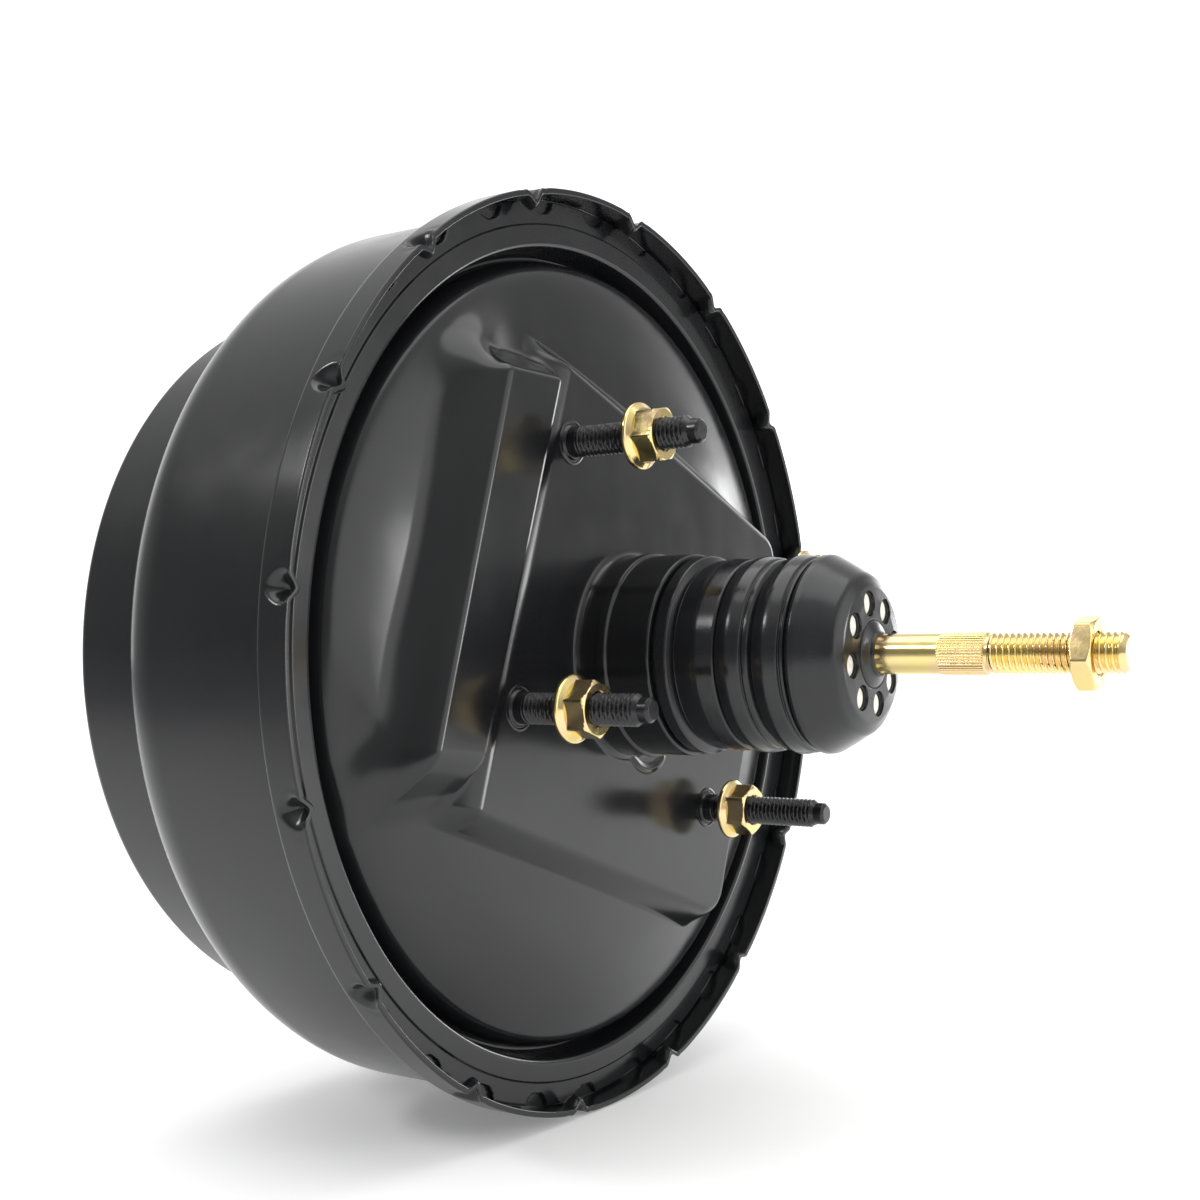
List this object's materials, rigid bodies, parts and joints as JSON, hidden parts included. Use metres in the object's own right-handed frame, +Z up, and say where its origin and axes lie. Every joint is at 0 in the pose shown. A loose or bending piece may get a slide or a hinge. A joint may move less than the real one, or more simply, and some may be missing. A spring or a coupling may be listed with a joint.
{
  "type": "brake booster",
  "caption": "Tandem vacuum brake booster with a crimped stepped drum, bulkhead studs with flange nuts, ribbed rubber boot and threaded pushrod.",
  "frame": {"origin": "on the booster's axis, in the plane of the bulkhead seat", "axes": "+X along the booster's axis towards the pedal, +Z up as the object stands in the picture, +Y completes the right-handed set"},
  "size_m": [0.2698, 0.25, 0.25],
  "materials": {
    "shell_paint": "gloss black paint",
    "stud_phosphate": "black phosphate",
    "yellow_zinc": "yellow zinc",
    "plain_steel": "satin",
    "spring_steel": "satin",
    "black_rubber": "satin",
    "diaphragm_rubber": "matte",
    "dark_plastic": "matte",
    "pale_plastic": "matte",
    "foam": "open foam"
  },
  "bodies": {
    "housing": {"front_shell": "shell_paint", "rear_shell": "shell_paint", "front_reinforcement": "plain_steel", "rear_reinforcement": "plain_steel", "bulkhead_studs": "stud_phosphate", "bulkhead_nuts": "yellow_zinc", "master_cylinder_studs": "stud_phosphate", "grommet": "black_rubber", "check_valve": "dark_plastic", "front_seal": "black_rubber", "centre_plate": "plain_steel", "centre_plate_seal": "black_rubber", "body_seal": "black_rubber", "guide_bush": "pale_plastic", "seal_retainer": "plain_steel", "rear_diaphragm": "diaphragm_rubber", "front_diaphragm": "diaphragm_rubber"},
    "piston": {"valve_body": "dark_plastic", "rear_diaphragm_plate": "plain_steel", "front_diaphragm_plate": "plain_steel", "plate_ring": "plain_steel", "valve_key": "plain_steel", "reaction_disc": "black_rubber", "output_rod": "yellow_zinc", "output_rod_screw": "yellow_zinc", "poppet_valve": "black_rubber", "poppet_retainer": "plain_steel", "poppet_spring": "spring_steel", "valve_silencer": "foam", "air_filter": "foam", "return_spring": "spring_steel", "boot": "black_rubber"},
    "plunger": {"valve_plunger": "plain_steel"},
    "rod": {"input_rod": "yellow_zinc", "lock_nut": "yellow_zinc", "rod_return_spring": "spring_steel"}
  },
  "joints": [
    {"name": "piston_slide", "type": "slide", "parent": "housing", "child": "piston", "axis": [-1, 0, 0], "range_m": [0, 0.028], "stiffness_N_per_m": 5000, "springref_m": -0.02, "deforming": ["return_spring", "boot", "rear_diaphragm", "front_diaphragm"]},
    {"name": "valve_slide", "type": "slide", "parent": "piston", "child": "plunger", "axis": [-1, 0, 0], "range_m": [0, 0.002], "stiffness_N_per_m": 3000, "springref_m": -0.004, "deforming": ["rod_return_spring"]},
    {"name": "rod_tilt", "type": "hinge", "parent": "plunger", "child": "rod", "pos_m": [-0.006, 0, 0], "axis": [0, 1, 0], "range_deg": [-2, 2], "stiffness_Nm_per_rad": 15}
  ]
}
